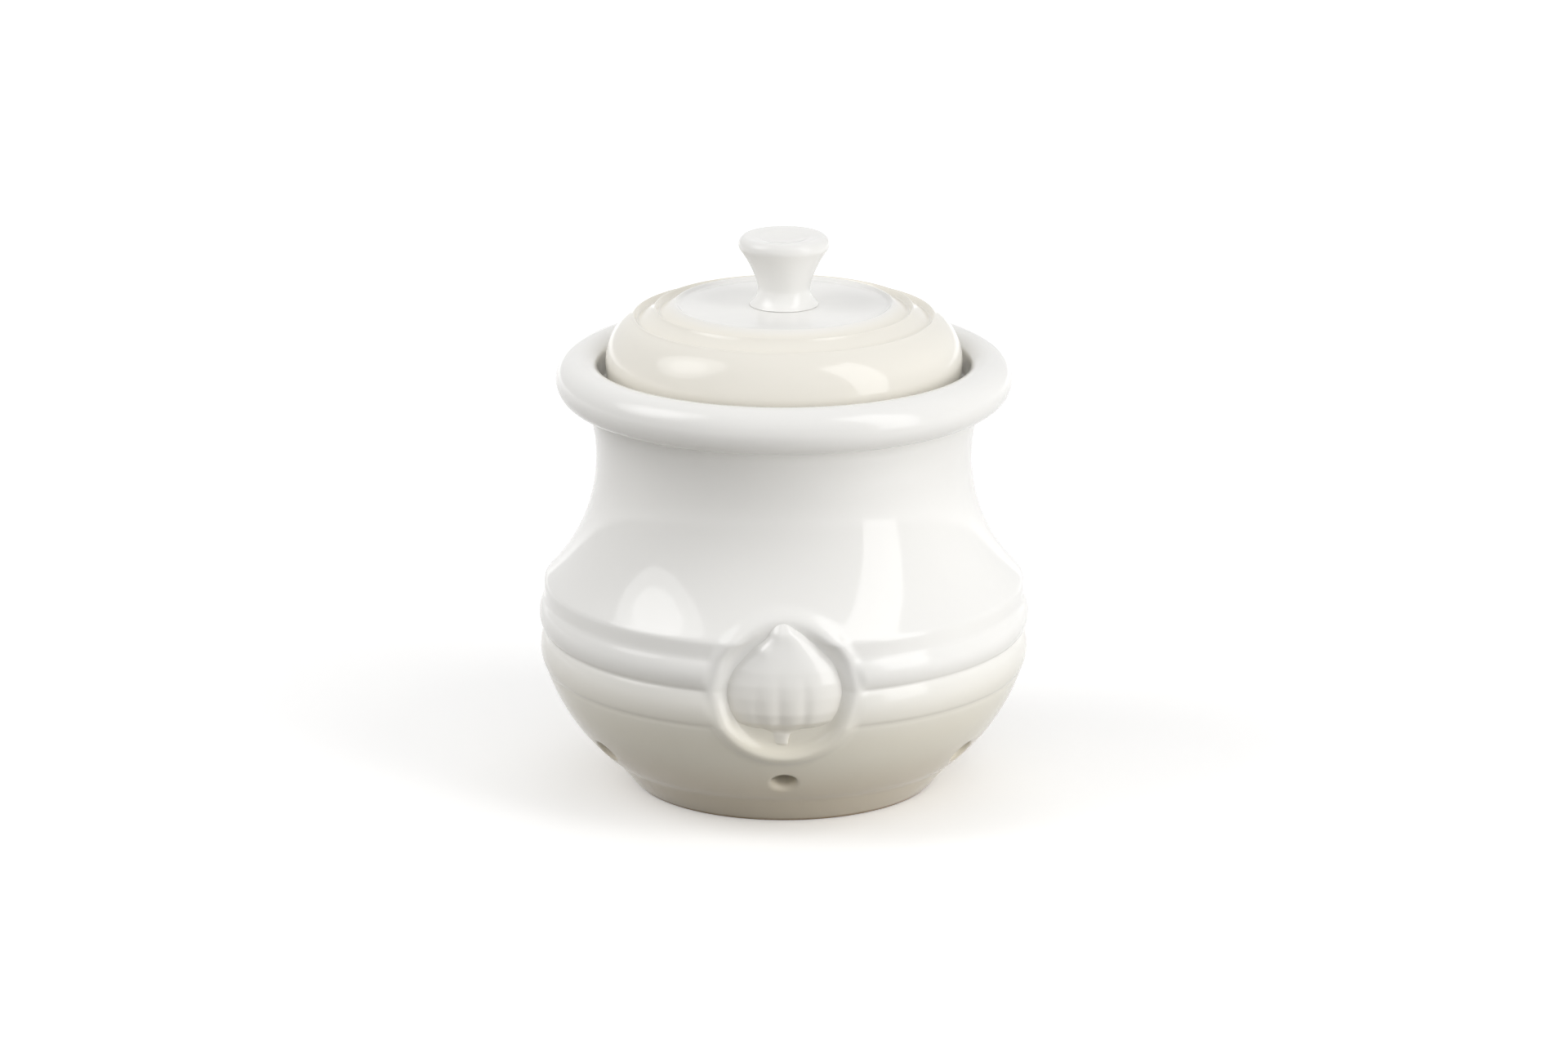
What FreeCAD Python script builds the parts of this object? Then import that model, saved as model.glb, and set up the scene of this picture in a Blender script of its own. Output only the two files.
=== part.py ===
# A glazed stoneware garlic keeper: a bellied crock with vent holes, and a loose sunken lid with a knob.
# Units are millimetres. +Z is up, the origin is the centre of the foot, and the garlic relief faces -Y.
import FreeCAD, Part
import math
import os
import Sketcher

doc = FreeCAD.newDocument("garlic_keeper")

# Driving sizes. Radii and heights are taken from the pot's axis and from the surface that it stands on.
SIZES = {
    # foot and lower belly
    "foot_radius": 39.0,
    "foot_corner_radius": 46.2,
    "foot_height": 8.5,
    "foot_ring_width": 4.5,
    "foot_recess": 1.6,
    "lower_belly_curve": 50.7,
    # belt of two raised ridges round the belly, with a groove above, between and below them
    "belly_radius": 62.5,
    "low_groove_height": 31.8,
    "low_ridge_width": 9.6,
    "low_ridge_curve": 11.2,
    "high_ridge_width": 8.3,
    "high_ridge_curve": 6.9,
    "shoulder_band": 4.7,
    # waisted neck and rolled rim
    "neck_curve": 47.1,
    "neck_top_radius": 50.1,
    "neck_top_height": 98.5,
    "rim_roll_overhang": 2.9,
    "rim_roll_radius": 6.1,
    "rim_rise": 9.6,
    # inside, with the gallery that carries the lid
    "wall": 5.5,
    "base_thickness": 6.5,
    "floor_radius": 33.8,
    "inner_shoulder_drop": 2.3,
    "gallery_lip": 2.3,
    "gallery_thickness": 4.4,
    "gallery_rise": 6.9,
    "gallery_width": 6.0,
    # vent holes
    "vent_radius": 3.2,
    "vent_height": 15.6,
    # round panel with the relief
    "panel_height": 41.6,
    "panel_radius": 19.2,
    "panel_border": 3.0,
    "panel_border_rise": 0.5,
    "panel_floor_depth": 3.3,
    # garlic bulb on the panel
    "bulb_drop": 2.0,
    "bulb_width": 14.6,
    "bulb_length": 11.6,
    "bulb_proud": 3.2,
    "middle_clove_width": 4.6,
    "middle_clove_length": 11.2,
    "middle_clove_proud": 4.6,
    "side_clove_place": 5.4,
    "side_clove_width": 4.2,
    "side_clove_length": 10.2,
    "side_clove_proud": 4.3,
    "outer_clove_place": 9.8,
    "outer_clove_width": 4.0,
    "outer_clove_length": 7.2,
    "outer_clove_proud": 3.6,
    "crown_rise": 6.4,
    "crown_width": 8.8,
    "crown_length": 8.6,
    "crown_proud": 3.6,
    "stem_rise": 11.6,
    "stem_width": 3.4,
    "stem_length": 7.4,
    "stem_proud": 3.2,
    "root_drop": 12.2,
    "root_width": 2.6,
    "root_length": 2.2,
    "root_proud": 2.4,
    # lid
    "lid_edge_gap": 2.2,
    "lid_side_height": 5.8,
    "lid_edge_curve": 7.5,
    "lid_seat_width": 1.4,
    "lid_shoulder_radius": 38.7,
    "lid_shoulder_rise": 19.4,
    "lid_shoulder_curve": 13.1,
    "lid_dome_curve": 70.0,
    "plate_radius": 27.4,
    "plate_rise": 22.2,
    "plate_lip": 0.7,
    "ring_groove_radius": 33.0,
    "ring_groove_rise": 21.7,
    "ring_groove_size": 0.6,
    "lid_wall": 4.6,
    "lid_hollow_curve": 14.0,
    "lid_hollow_rise": 8.0,
    "flange_gap": 1.1,
    "flange_width": 3.8,
    "flange_drop": 8.4,
    # knob
    "knob_base_radius": 8.8,
    "knob_base_curve": 6.0,
    "knob_neck_radius": 6.7,
    "knob_neck_rise": 4.6,
    "knob_flare_curve": 26.0,
    "knob_lip_radius": 11.6,
    "knob_lip_rise": 15.0,
    "knob_lip_curve": 2.4,
    "knob_top_radius": 9.9,
    "knob_rise": 18.4,
    "knob_dimple_depth": 1.6,
    "knob_dimple_curve": 31.5,
}
VENT_COUNT = 6
SIDE_CLOVE_LEAN = 4.0
OUTER_CLOVE_LEAN = 10.0

sheet = doc.addObject("Spreadsheet::Sheet", "sizes")
for row, (alias, size) in enumerate(SIZES.items(), start=1):
    sheet.set(f"A{row}", alias)
    sheet.set(f"B{row}", str(size))
    sheet.setAlias(f"B{row}", alias)
doc.recompute()

# Places that several pieces share, as sums of the sizes above
MIDDLE_GROOVE = "low_groove_height low_ridge_width"
TOP_GROOVE = MIDDLE_GROOVE + " high_ridge_width"
SHOULDER = TOP_GROOVE + " shoulder_band"
RIM_HEIGHT = "neck_top_height rim_rise"
THROAT = "neck_top_radius -wall -gallery_lip"
SEAT = "neck_top_height gallery_rise"
PLATE = SEAT + " plate_rise"
LID_RADIUS = THROAT + " gallery_width -lid_edge_gap"
BULB = "panel_height -bulb_drop"


# A place or length is written as a sum of named sizes, such as "belly_radius -wall".
def signed_terms(text):
    for term in text.split():
        yield (-1, term[1:]) if term.startswith("-") else (1, term)


def total(text):
    """Value of a sum of named sizes, read from the sheet."""
    return sum(sign * sheet.get(alias) for sign, alias in signed_terms(text))


def formula(text):
    """The same sum, written for an expression that stays bound to the sheet."""
    marks = {1: "+ sizes.", -1: "- sizes."}
    return "0 " + " ".join(marks[sign] + alias for sign, alias in signed_terms(text))


def tie(feature, prop, text):
    """Sets a property of a feature to a sum of named sizes."""
    feature.setExpression(prop, formula(text))


def origin_feature(body, role):
    return next(item for item in body.Origin.OriginFeatures if item.Role == role)


def new_body(label):
    body = doc.addObject("PartDesign::Body", label)
    body.Label = label
    return body


def new_sketch(body, name, role="XZ_Plane"):
    sketch = body.newObject("Sketcher::SketchObject", name)
    sketch.AttachmentSupport = [(origin_feature(body, role), "")]
    sketch.MapMode = "FlatFace"
    return sketch


def bind(sketch, constraint, text):
    """Adds a constraint and ties its value to the sheet."""
    index = sketch.addConstraint(constraint)
    sketch.setExpression(f"Constraints[{index}]", formula(text))


def place_point(sketch, geometry, end, radius, height):
    """Ties one point to its radius and height. Empty ones are on the axis and at the foot."""
    if radius:
        bind(sketch, Sketcher.Constraint("DistanceX", -1, 1, geometry, end, total(radius)), radius)
    else:
        sketch.addConstraint(Sketcher.Constraint("PointOnObject", geometry, end, -2))
    if height:
        bind(sketch, Sketcher.Constraint("DistanceY", -1, 1, geometry, end, total(height)), height)
    else:
        sketch.addConstraint(Sketcher.Constraint("PointOnObject", geometry, end, -1))


def arc_between(start, end, radius, bulge):
    """Arc of a given radius, drawn anticlockwise. It bulges to the left of the way for 1, right for -1."""
    half = (end - start) * 0.5
    rise = math.sqrt(max(radius * radius - half.Length * half.Length, 0.0))
    left = FreeCAD.Vector(-half.y, half.x, 0).normalize()
    middle = start + half + left * (bulge * (radius - rise))
    return Part.Arc(end, middle, start) if bulge > 0 else Part.Arc(start, middle, end)


def outline(sketch, steps):
    """Closed outline. A step leads to (radius, height) by a line, or (radius, height, arc size, bulge)."""
    points = [FreeCAD.Vector(total(step[0]), total(step[1]), 0) for step in steps]
    backward = [len(step) == 4 and step[3] > 0 for step in steps]
    for index, step in enumerate(steps):
        if len(step) == 4:
            curve = arc_between(points[index - 1], points[index], total(step[2]), step[3])
        else:
            curve = Part.LineSegment(points[index - 1], points[index])
        sketch.addGeometry(curve, False)
    for index, step in enumerate(steps):
        following = (index + 1) % len(steps)
        last = 1 if backward[index] else 2
        first = 2 if backward[following] else 1
        sketch.addConstraint(Sketcher.Constraint("Coincident", index, last, following, first))
        place_point(sketch, index, last, step[0], step[1])
        if len(step) == 4:
            bind(sketch, Sketcher.Constraint("Radius", index, total(step[2])), step[2])


def circle(sketch, x_place, height, radius):
    """Circle with its centre at (x_place, height). An empty x_place is on the axis."""
    centre = FreeCAD.Vector(total(x_place), total(height), 0)
    normal = FreeCAD.Vector(0, 0, 1)
    index = sketch.addGeometry(Part.Circle(centre, normal, total(radius)), False)
    place_point(sketch, index, 3, x_place, height)
    bind(sketch, Sketcher.Constraint("Radius", index, total(radius)), radius)


def revolve(body, kind, name, sketch):
    feature = body.newObject(kind, name)
    feature.Profile = sketch
    feature.ReferenceAxis = (sketch, ["V_Axis"])
    feature.Angle = 360.0
    doc.recompute()
    return feature


def volume_step(body, feature, grows):
    """Stops the build if a feature added or cut nothing."""
    doc.recompute()
    before = feature.BaseFeature.Shape.Volume
    change = feature.Shape.Volume - before
    if (change > 0) != grows or abs(change) < 0.5:
        raise RuntimeError(f"{body.Label}: {feature.Name} changed the volume by {change:.2f}")


def front_sketch(body, name, distance):
    """Sketch on an upright plane that stands the given distance in front of the axis."""
    sketch = new_sketch(body, name)
    tie(sketch, "AttachmentOffset.Base.z", distance)
    doc.recompute()
    return sketch


def make_crock():
    """Turned wall, rolled rim, lid gallery, foot ring, relief panel and vent holes."""
    body = new_body("crock")
    section = new_sketch(body, "crock_section")
    outline(section, [
        ("", "base_thickness"),
        ("", ""),
        ("foot_radius", ""),
        ("foot_corner_radius", "foot_height"),
        ("belly_radius", "low_groove_height", "lower_belly_curve", -1),
        ("belly_radius", MIDDLE_GROOVE, "low_ridge_curve", -1),
        ("belly_radius", TOP_GROOVE, "high_ridge_curve", -1),
        ("belly_radius", SHOULDER),
        ("neck_top_radius", "neck_top_height", "neck_curve", 1),
        ("neck_top_radius", RIM_HEIGHT),
        (THROAT, RIM_HEIGHT),
        (THROAT, SEAT + " -gallery_thickness"),
        ("neck_top_radius -wall", "neck_top_height"),
        ("belly_radius -wall", SHOULDER + " -inner_shoulder_drop", "neck_curve wall", -1),
        ("belly_radius -wall", "low_groove_height"),
        ("floor_radius", "base_thickness", "lower_belly_curve -wall", 1),
    ])
    revolve(body, "PartDesign::Revolution", "crock_turned", section)

    roll = new_sketch(body, "rim_roll_section")
    circle(roll, "neck_top_radius rim_roll_overhang", RIM_HEIGHT, "rim_roll_radius")
    volume_step(body, revolve(body, "PartDesign::Revolution", "rim_roll", roll), True)

    mouth = new_sketch(body, "mouth_section")
    above_rim = RIM_HEIGHT + " rim_roll_radius wall"
    mouth_radius = THROAT + " gallery_width"
    outline(mouth, [("", SEAT), (mouth_radius, SEAT), (mouth_radius, above_rim), ("", above_rim)])
    volume_step(body, revolve(body, "PartDesign::Groove", "mouth", mouth), False)

    hollow = new_sketch(body, "foot_hollow_section")
    ring_inside = "foot_radius -foot_ring_width"
    outline(hollow, [("", ""), (ring_inside, ""), (ring_inside, "foot_recess"), ("", "foot_recess")])
    volume_step(body, revolve(body, "PartDesign::Groove", "foot_hollow", hollow), False)

    border = front_sketch(body, "panel_border_circle", "belly_radius -wall")
    circle(border, "", "panel_height", "panel_radius")
    pad = body.newObject("PartDesign::Pad", "panel_border")
    pad.Profile = border
    tie(pad, "Length", "wall -panel_floor_depth panel_border_rise")
    volume_step(body, pad, True)

    floor = front_sketch(body, "panel_floor_circle", "belly_radius -panel_floor_depth")
    circle(floor, "", "panel_height", "panel_radius -panel_border")
    recess = body.newObject("PartDesign::Pocket", "panel_recess")
    recess.Profile = floor
    recess.Reversed = True
    tie(recess, "Length", "belly_radius")
    volume_step(body, recess, False)

    vent = new_sketch(body, "vent_circle")
    circle(vent, "", "vent_height", "vent_radius")
    hole = body.newObject("PartDesign::Pocket", "vent")
    hole.Profile = vent
    hole.Reversed = True
    tie(hole, "Length", "belly_radius belly_radius")
    volume_step(body, hole, False)
    pattern = body.newObject("PartDesign::PolarPattern", "vents")
    pattern.Originals = [hole]
    pattern.Axis = (origin_feature(body, "Z_Axis"), [""])
    pattern.Occurrences = VENT_COUNT
    body.Tip = pattern
    doc.recompute()
    return body


def make_lid():
    """Domed lid: it rests on the crock's gallery, and its flange drops into the throat."""
    body = new_body("lid")
    flange_bottom = SEAT + " -flange_drop"
    flange_outside = THROAT + " -flange_gap"
    flange_inside = flange_outside + " -flange_width"
    section = new_sketch(body, "lid_section")
    outline(section, [
        ("", PLATE + " -lid_wall"),
        ("plate_radius", PLATE + " -lid_wall"),
        (flange_inside, SEAT + " lid_hollow_rise", "lid_hollow_curve", 1),
        (flange_inside, flange_bottom),
        (flange_outside, flange_bottom),
        (flange_outside, SEAT),
        (THROAT + " lid_seat_width", SEAT),
        (LID_RADIUS, SEAT + " lid_side_height", "lid_edge_curve", -1),
        ("lid_shoulder_radius", SEAT + " lid_shoulder_rise", "lid_shoulder_curve", -1),
        ("plate_radius plate_lip", PLATE + " plate_lip", "lid_dome_curve", -1),
        ("plate_radius", PLATE),
        ("", PLATE),
    ])
    revolve(body, "PartDesign::Revolution", "lid_turned", section)
    grooves = (("ring_groove_radius", "ring_groove_rise"), ("lid_shoulder_radius", "lid_shoulder_rise"))
    for number, (radius, rise) in enumerate(grooves, start=1):
        ring = new_sketch(body, f"ring_groove_section_{number}")
        circle(ring, radius, SEAT + " " + rise, "ring_groove_size")
        volume_step(body, revolve(body, "PartDesign::Groove", f"ring_groove_{number}", ring), False)
    return body


def make_knob():
    """Flared knob with a shallow dimple in its top. It stands on the lid's flat centre plate."""
    body = new_body("lid_knob")
    section = new_sketch(body, "knob_section")
    outline(section, [
        ("", PLATE),
        ("knob_base_radius", PLATE),
        ("knob_neck_radius", PLATE + " knob_neck_rise", "knob_base_curve", 1),
        ("knob_lip_radius", PLATE + " knob_lip_rise", "knob_flare_curve", 1),
        ("knob_top_radius", PLATE + " knob_rise", "knob_lip_curve", -1),
        ("", PLATE + " knob_rise -knob_dimple_depth", "knob_dimple_curve", 1),
    ])
    revolve(body, "PartDesign::Revolution", "knob_turned", section)
    return body


def clove(name, across, height, size, lean=0.0):
    """One swelling of the bulb: an ellipsoid whose middle lies on the panel's floor, leaning in degrees."""
    swelling = doc.addObject("Part::Ellipsoid", name)
    quarter_turn = FreeCAD.Rotation(FreeCAD.Vector(0, 0, 1), 90)
    swelling.Placement.Rotation = FreeCAD.Rotation(FreeCAD.Vector(0, 1, 0), lean) * quarter_turn
    tie(swelling, "Radius1", f"{size}_length")
    tie(swelling, "Radius2", f"{size}_proud")
    tie(swelling, "Radius3", f"{size}_width")
    if across:
        tie(swelling, "Placement.Base.x", across)
    tie(swelling, "Placement.Base.y", "-belly_radius panel_floor_depth")
    tie(swelling, "Placement.Base.z", height)
    return swelling


def make_relief():
    """Garlic bulb in relief: a round bulb with five cloves, a crown, a stem and a root, flat behind."""
    cloves = [
        clove("bulb", "", BULB, "bulb"),
        clove("crown", "", BULB + " crown_rise", "crown"),
        clove("clove_middle", "", BULB, "middle_clove"),
        clove("stem", "", BULB + " stem_rise", "stem"),
        clove("root", "", BULB + " -root_drop", "root"),
    ]
    leaning = (("side_clove", SIDE_CLOVE_LEAN), ("outer_clove", OUTER_CLOVE_LEAN))
    for side, mark, turn in (("left", "-", 1), ("right", "", -1)):
        for size, lean in leaning:
            place = f"{mark}{size}_place"
            cloves.append(clove(f"{size}_{side}", place, BULB, size, turn * lean))
    bulb = doc.addObject("Part::MultiFuse", "bulb_whole")
    bulb.Shapes = cloves
    front = doc.addObject("Part::Box", "panel_front")
    tie(front, "Length", "panel_radius panel_radius")
    tie(front, "Width", "panel_radius")
    tie(front, "Height", "panel_radius panel_radius")
    tie(front, "Placement.Base.x", "-panel_radius")
    tie(front, "Placement.Base.y", "-belly_radius panel_floor_depth -panel_radius")
    tie(front, "Placement.Base.z", "panel_height -panel_radius")
    relief = doc.addObject("Part::MultiCommon", "garlic_relief")
    relief.Shapes = [bulb, front]
    relief.Label = "garlic_relief"
    doc.recompute()
    return relief


def check_and_export(nodes):
    doc.recompute()
    for item in doc.Objects:
        if "Invalid" in item.State or "Error" in item.State:
            raise RuntimeError(f"{item.Name} failed: {item.State}")
    os.makedirs("parts", exist_ok=True)
    for node in nodes:
        shape = node.Shape
        if shape.isNull() or not shape.isValid() or not shape.Solids:
            raise RuntimeError(f"{node.Label} has no valid solid")
        shape.exportStep(f"parts/{node.Label}.step")
        box = shape.BoundBox
        print(f"{node.Label}: {len(shape.Solids)} solid, {shape.Volume / 1000:.2f} cm3,"
              f" x {box.XMin:.2f} {box.XMax:.2f}, y {box.YMin:.2f} {box.YMax:.2f},"
              f" z {box.ZMin:.2f} {box.ZMax:.2f}")


check_and_export([make_crock(), make_relief(), make_lid(), make_knob()])
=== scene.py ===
# %% [markdown]
# # A glazed stoneware garlic keeper
# The pot, its relief, the lid and the knob are thrown and pressed in clay, then dipped in one
# glossy glaze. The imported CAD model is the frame: it fixes every size. New surfaces are drawn
# over it, because glaze rounds each corner and runs thin on the edges, which a turned CAD solid
# doesn't show.

import math

import bpy
import numpy as np
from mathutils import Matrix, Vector


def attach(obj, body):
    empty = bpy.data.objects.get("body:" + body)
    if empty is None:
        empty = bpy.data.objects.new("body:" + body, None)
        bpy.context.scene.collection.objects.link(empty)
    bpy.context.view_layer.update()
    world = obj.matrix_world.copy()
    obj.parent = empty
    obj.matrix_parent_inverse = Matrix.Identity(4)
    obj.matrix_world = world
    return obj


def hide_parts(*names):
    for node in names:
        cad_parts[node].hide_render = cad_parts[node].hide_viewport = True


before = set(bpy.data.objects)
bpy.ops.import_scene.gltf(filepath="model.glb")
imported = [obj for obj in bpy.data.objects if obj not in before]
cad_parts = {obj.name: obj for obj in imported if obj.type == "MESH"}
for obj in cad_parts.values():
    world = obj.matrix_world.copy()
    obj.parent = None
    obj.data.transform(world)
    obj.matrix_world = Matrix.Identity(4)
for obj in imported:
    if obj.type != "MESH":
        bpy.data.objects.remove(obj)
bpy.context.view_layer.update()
MM = 0.001

# %% [markdown]
# ## Profiles
# A pot on a wheel is a profile turned about its axis. A profile could be typed point by point,
# but lines and arcs of a few named sizes are easier to read and to change. Each stretch also says
# how many rings it gets, so that the mesh is fine where the form is busy and coarse where it is
# plain.

# %% Stretches of a profile, as (radius, height) in millimetres
FINE_STEP = 0.05
ROUGH_RADIAN = 57  # degrees: near enough to choose how many points an arc gets


def line(start, end, rings):
    """Straight stretch: every point is a mix of the two ends."""
    start, end = np.array(start, float), np.array(end, float)
    count = max(2, int(np.linalg.norm(end - start) / FINE_STEP))
    share = np.linspace(0, 1, count)[:, None]
    return start * (1 - share) + end * share, rings


def arc(start, end, radius, side, rings):
    """Arc of a given radius. Its centre is to the right of the way for side 1, to the left for -1, off
    the middle of the chord by the root of (radius squared - half the chord squared)."""
    start, end = np.array(start, float), np.array(end, float)
    half = (end - start) / 2
    reach = math.sqrt(max(radius**2 - half @ half, 0.0))
    right = np.array([half[1], -half[0]]) / np.linalg.norm(half)
    centre = start + half + side * reach * right
    first = math.atan2(*(start - centre)[::-1])
    turn = math.atan2(*(end - centre)[::-1]) - first
    turn = (turn + math.pi) % (2 * math.pi) - math.pi
    angle = first + turn * np.linspace(0, 1, max(3, int(abs(turn) * radius / FINE_STEP)))
    return centre + radius * np.stack([np.cos(angle), np.sin(angle)], 1), rings


def round_the_circle(centre, radius, first, last, rings):
    """Arc about a known centre, between two angles in degrees: centre + radius (cos, sin)."""
    count = max(3, int(abs(last - first) * radius / ROUGH_RADIAN / FINE_STEP))
    angle = np.radians(np.linspace(first, last, count))
    return np.array(centre) + radius * np.stack([np.cos(angle), np.sin(angle)], 1), rings


def glazed(stretches, softness):
    """Rings of the joined stretches after the glaze has rounded them. Each point becomes the mean of
    the profile round it, weighted by a bell curve as wide as the softness and cut off at three times
    that."""
    path = np.concatenate([points for points, _ in stretches])
    length = np.r_[0, np.cumsum(np.linalg.norm(np.diff(path, axis=0), axis=1))]
    ends = np.cumsum([0] + [len(points) for points, _ in stretches])
    stations = [np.linspace(length[ends[i]], length[ends[i + 1] - 1], stretch[1], endpoint=False)
                for i, stretch in enumerate(stretches)]
    stations = np.append(np.concatenate(stations), length[-1])
    even = np.arange(0, length[-1], FINE_STEP)
    reach = int(3 * softness / FINE_STEP)
    weights = np.exp(-0.5 * (np.arange(-reach, reach + 1) * FINE_STEP / softness) ** 2)
    rounded = []
    for axis in (0, 1):
        values = np.interp(even, length, path[:, axis])
        padded = np.pad(values, reach, mode="reflect", reflect_type="odd")
        rounded.append(np.interp(stations, even, np.convolve(padded, weights / weights.sum(), "valid")))
    return np.stack(rounded, 1)


print("profile tools ready, steps of", FINE_STEP, "mm")

# %% [markdown]
# ## From rings to a mesh
# Blender could turn a profile with its Screw modifier or its Spin tool. Here the vertices are
# worked out as one array instead, because the crock's front is pressed out of round afterwards
# and its wall has holes. A ring of vertices is a row, a vertical line of them is a column, and
# the two ends of the profile close in one point each.

# %% Rings of vertices become one closed piece
def ring_faces(rows, columns, skip=None):
    """Four-cornered faces between each ring and the next. skip marks the faces left out."""
    row, column = np.meshgrid(np.arange(rows - 1), np.arange(columns), indexing="ij")
    following = (column + 1) % columns
    faces = np.stack([row * columns + column, row * columns + following,
                      (row + 1) * columns + following, (row + 1) * columns + column], -1)
    return faces[~skip] if skip is not None else faces.reshape(-1, 4)


def cap_faces(first, pole, columns, flip):
    """Triangles from one ring to the single point that closes it."""
    column = np.arange(columns)
    near, far = first + column, first + (column + 1) % columns
    corners = (far, near) if flip else (near, far)
    return np.stack([*corners, np.full(columns, pole)], -1)


def new_piece(name, points, faces, body, nodes):
    """Mesh object in metres that rides on a body and stands for its CAD nodes."""
    mesh = bpy.data.meshes.new(name)
    mesh.from_pydata((points * MM).tolist(), [], [face.tolist() for group in faces for face in group])
    mesh.validate()
    mesh.shade_smooth()
    piece = bpy.data.objects.new(name, mesh)
    bpy.context.collection.objects.link(piece)
    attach(piece, body)
    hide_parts(*nodes)
    mesh.calc_loop_triangles()
    print(f"{name}: {len(mesh.vertices)} vertices, {len(mesh.loop_triangles)} triangles")
    return piece


def turned(radius, height, angle):
    """x = radius sin(angle), y = -radius cos(angle), so that angle 0 is the front and right is +x."""
    return np.stack([radius * np.sin(angle), -radius * np.cos(angle), height], -1)


def turned_piece(name, profile, columns, body, nodes):
    """Closed solid of revolution. The first and the last point of the profile are on the axis."""
    angle = np.linspace(0, 2 * math.pi, columns, endpoint=False)
    rings = profile[1:-1]
    points = turned(*np.broadcast_arrays(rings[:, :1], rings[:, 1:], angle)).reshape(-1, 3)
    ends = np.array([[0, 0, profile[0, 1]], [0, 0, profile[-1, 1]]])
    first, last = len(points), len(points) + 1
    faces = [ring_faces(len(rings), columns), cap_faces(0, first, columns, True),
             cap_faces((len(rings) - 1) * columns, last, columns, False)]
    return new_piece(name, np.concatenate([points, ends]), faces, body, nodes)


print("mesh tools ready")

# %% [markdown]
# ## The crock's profile
# It runs from under the foot, up the belly with its two ridges, round the rolled rim, down to the
# gallery that carries the lid, and inside down to the floor. The profile could be read off the
# CAD mesh, but the same sizes by name stay readable. They are the CAD model's, so the wall keeps
# its thickness and the lid its seat.

# %% Named places of the crock, in millimetres
FOOT, FOOT_CORNER, RING_INSIDE = (39.0, 0.0), (46.2, 8.5), 34.5
FOOT_RECESS, FLOOR = 1.6, 6.5
BELLY, BELLY_CURVE, WALL = 62.5, 50.7, 5.5
BELLY_CENTRE = (14.1, 47.2)
LOW_RIDGE_CURVE, HIGH_RIDGE_CURVE, INNER_SHOULDER_DROP = 11.2, 6.9, 2.3
LOW_GROOVE, MIDDLE_GROOVE, TOP_GROOVE, SHOULDER = 31.8, 41.4, 49.7, 54.4
NECK_TOP, NECK_CURVE = (50.1, 98.5), 47.1
ROLL_CENTRE, ROLL = (53.0, 108.1), 6.1
MOUTH, SEAT, THROAT, GALLERY_UNDER = 48.3, 105.4, 42.3, 101.0
VENT_TILT, VENT_RADIUS, VENT_SPREAD, VENT_ROWS = 40.0, 3.0, 6.2, 6
SOFT, CRISP = 0.4, 0.26  # how far the glaze rounds a corner, on the crock and knob and on the lid


def belly_point(droop, inset=0.0):
    """Point of the belly's lower arc, at an angle below level about the arc's centre, in radians."""
    reach = BELLY_CURVE - inset
    return BELLY_CENTRE[0] + reach * np.cos(droop), BELLY_CENTRE[1] - reach * np.sin(droop)


def belly_droop(height, inset=0.0):
    """Angle below level at which that arc reaches a height: arcsine of (drop / curve)."""
    return np.arcsin((BELLY_CENTRE[1] - height) / (BELLY_CURVE - inset))


def belly_stretch(first, last, inset, rings):
    """Part of that arc between two angles below level, in either direction."""
    droop = np.linspace(first, last, max(3, int(abs(last - first) * BELLY_CURVE / FINE_STEP)))
    return np.stack(belly_point(droop, inset), 1), rings


roll_start = math.degrees(math.atan2(-math.sqrt(ROLL**2 - (ROLL_CENTRE[0] - NECK_TOP[0]) ** 2),
                                     NECK_TOP[0] - ROLL_CENTRE[0]))
roll_end = math.degrees(math.acos((MOUTH - ROLL_CENTRE[0]) / ROLL))
roll_low = (NECK_TOP[0], ROLL_CENTRE[1] + ROLL * math.sin(math.radians(roll_start)))
roll_inside = (MOUTH, ROLL_CENTRE[1] + ROLL * math.sin(math.radians(roll_end)))
print(f"the roll starts at {roll_start:.0f} degrees and ends at {roll_end:.0f}")

# %% The whole profile, outside first
tilt = math.radians(VENT_TILT)
below, above = tilt + VENT_SPREAD / BELLY_CURVE, tilt - VENT_SPREAD / BELLY_CURVE
inner_shoulder = (BELLY - WALL, SHOULDER - INNER_SHOULDER_DROP)
inner_floor_edge = (float(belly_point(belly_droop(FLOOR, WALL), WALL)[0]), FLOOR)
outside = [
    line((0, FOOT_RECESS), (RING_INSIDE, FOOT_RECESS), 6),
    line((RING_INSIDE, FOOT_RECESS), (RING_INSIDE, 0), 3),
    line((RING_INSIDE, 0), FOOT, 5),
    line(FOOT, FOOT_CORNER, 9),
    belly_stretch(belly_droop(FOOT_CORNER[1]), below, 0, 2),
    belly_stretch(below, tilt, 0, 2 * VENT_ROWS),
    belly_stretch(tilt, above, 0, 2 * VENT_ROWS),
    belly_stretch(above, belly_droop(LOW_GROOVE), 0, 18),
    arc((BELLY, LOW_GROOVE), (BELLY, MIDDLE_GROOVE), LOW_RIDGE_CURVE, -1, 19),
    arc((BELLY, MIDDLE_GROOVE), (BELLY, TOP_GROOVE), HIGH_RIDGE_CURVE, -1, 17),
    line((BELLY, TOP_GROOVE), (BELLY, SHOULDER), 7),
    arc((BELLY, SHOULDER), NECK_TOP, NECK_CURVE, 1, 44),
    line(NECK_TOP, roll_low, 5),
]
rim = [
    round_the_circle(ROLL_CENTRE, ROLL, roll_start, roll_end, 30),
    line(roll_inside, (MOUTH, SEAT), 7),
    line((MOUTH, SEAT), (THROAT, SEAT), 7),
    line((THROAT, SEAT), (THROAT, GALLERY_UNDER), 5),
    line((THROAT, GALLERY_UNDER), (NECK_TOP[0] - WALL, NECK_TOP[1]), 4),
]
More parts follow.
